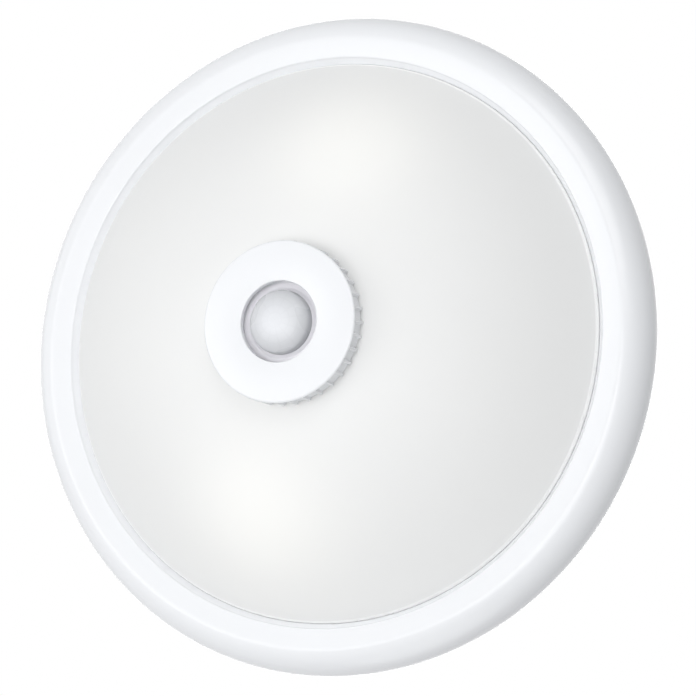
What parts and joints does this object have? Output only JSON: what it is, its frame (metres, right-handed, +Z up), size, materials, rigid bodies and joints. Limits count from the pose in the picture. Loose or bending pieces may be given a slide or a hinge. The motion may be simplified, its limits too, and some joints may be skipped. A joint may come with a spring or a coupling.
{
  "type": "sensor ceiling light",
  "caption": "Round flush ceiling light: white rolled rim, domed opal glass held by a knurled nut, domed motion-sensor lens at the centre.",
  "frame": {"origin": "centre of the face that lies on the ceiling", "axes": "+Z up into the ceiling, the glass dome and the sensor point to -Z; the lamps lie along Y, one on each side of the sensor in X"},
  "size_m": [0.3, 0.3, 0.0905],
  "materials": {
    "white_plastic": "smooth, softly glossy moulded plastic",
    "opal_glass": "satin opal glass that hides what is behind it",
    "milky_plastic": "thin milky polyethylene",
    "grey_rubber": "matte rubber",
    "white_enamel": "baked white enamel on sheet steel",
    "zinc_steel": "bright zinc plating",
    "white_thermoset": "glossy heat-proof moulding",
    "brass": "bright pressed sheet",
    "frosted_glass": "frosted bulb glass",
    "spun_aluminium": "rolled thread, bright",
    "black_plastic": "smooth",
    "solder": "dull solder",
    "nylon": "natural nylon",
    "green_fibreglass": "board with a green mask",
    "blue_plastic": "smooth",
    "amber_plastic": "smooth",
    "brown_insulation": "soft insulation",
    "blue_insulation": "soft insulation"
  },
  "bodies": {
    "base": {"base_pan": "white_plastic", "bracket_rivet_1": "zinc_steel", "bracket_rivet_2": "zinc_steel", "bracket_rivet_3": "zinc_steel", "bracket_rivet_4": "zinc_steel", "cable_grommet": "grey_rubber", "film_capacitor": "amber_plastic", "fresnel_lens": "milky_plastic", "glass_gasket": "grey_rubber", "holder_bracket_1": "zinc_steel", "holder_bracket_2": "zinc_steel", "holder_contact_1": "brass", "holder_contact_2": "brass", "holder_screw_1": "zinc_steel", "holder_screw_2": "zinc_steel", "holder_shell_1": "brass", "holder_shell_2": "brass", "housing_screw_1": "zinc_steel", "housing_screw_2": "zinc_steel", "housing_screw_3": "zinc_steel", "lampholder_1": "white_thermoset", "lampholder_2": "white_thermoset", "lens_clip": "milky_plastic", "light_sensor": "amber_plastic", "lux_trimmer": "blue_plastic", "plate_screw_1": "zinc_steel", "plate_screw_2": "zinc_steel", "plate_screw_3": "zinc_steel", "pyro_sensor": "zinc_steel", "reflector_plate": "white_enamel", "relay": "black_plastic", "sensor_board": "green_fibreglass", "sensor_housing": "white_plastic", "smoothing_capacitor": "blue_plastic", "terminal_block": "nylon", "terminal_screw_1": "zinc_steel", "terminal_screw_2": "zinc_steel", "terminal_screw_3": "zinc_steel", "time_trimmer": "blue_plastic", "wire_live_1": "brown_insulation", "wire_live_2": "brown_insulation", "wire_live_in": "brown_insulation", "wire_neutral_1": "blue_insulation", "wire_neutral_2": "blue_insulation", "wire_neutral_in": "blue_insulation"},
    "shade": {"glass_shade": "opal_glass", "nut_washer": "grey_rubber"},
    "nut": {"retaining_nut": "white_plastic"},
    "bulb_1_foot": {"bulb_contact_1": "solder"},
    "bulb_1": {"bulb_insulator_1": "black_plastic", "bulb_cap_1": "spun_aluminium", "bulb_glass_1": "frosted_glass"},
    "bulb_2_foot": {"bulb_contact_2": "solder"},
    "bulb_2": {"bulb_insulator_2": "black_plastic", "bulb_cap_2": "spun_aluminium", "bulb_glass_2": "frosted_glass"},
    "time_knob": {"time_knob": "amber_plastic"},
    "lux_knob": {"lux_knob": "amber_plastic"}
  },
  "joints": [
    {"name": "shade_drop", "type": "slide", "parent": "base", "child": "shade", "axis": [0, 0, -1], "range_m": [0, 0.00438]},
    {"name": "nut_unscrew", "type": "hinge", "parent": "shade", "child": "nut", "pos_m": [0, 0, -0.081], "axis": [0, 0, -1], "range_deg": [0, 630]},
    {"name": "bulb_1_travel", "type": "slide", "parent": "base", "child": "bulb_1_foot", "axis": [0, 1, 0], "range_m": [0, 0.0164]},
    {"name": "bulb_1_turn", "type": "hinge", "parent": "bulb_1_foot", "child": "bulb_1", "pos_m": [-0.07, -0.02, -0.0315], "axis": [0, 1, 0], "range_deg": [0, 1620]},
    {"name": "bulb_2_travel", "type": "slide", "parent": "base", "child": "bulb_2_foot", "axis": [0, -1, 0], "range_m": [0, 0.0164]},
    {"name": "bulb_2_turn", "type": "hinge", "parent": "bulb_2_foot", "child": "bulb_2", "pos_m": [0.07, 0.02, -0.0315], "axis": [0, -1, 0], "range_deg": [0, 1620]},
    {"name": "time_knob_turn", "type": "hinge", "parent": "base", "child": "time_knob", "pos_m": [0.0105, 0.01819, -0.078], "axis": [0, 0, 1], "range_deg": [-135, 135]},
    {"name": "lux_knob_turn", "type": "hinge", "parent": "base", "child": "lux_knob", "pos_m": [-0.0105, 0.01819, -0.078], "axis": [0, 0, 1], "range_deg": [-135, 135]}
  ],
  "couplings": [
    {"joint": "nut_unscrew", "follows": "shade_drop", "rad_per_m": 2513.3},
    {"joint": "bulb_1_travel", "follows": "bulb_1_turn", "m_per_rad": 0.00057757},
    {"joint": "bulb_2_travel", "follows": "bulb_2_turn", "m_per_rad": 0.00057757}
  ]
}
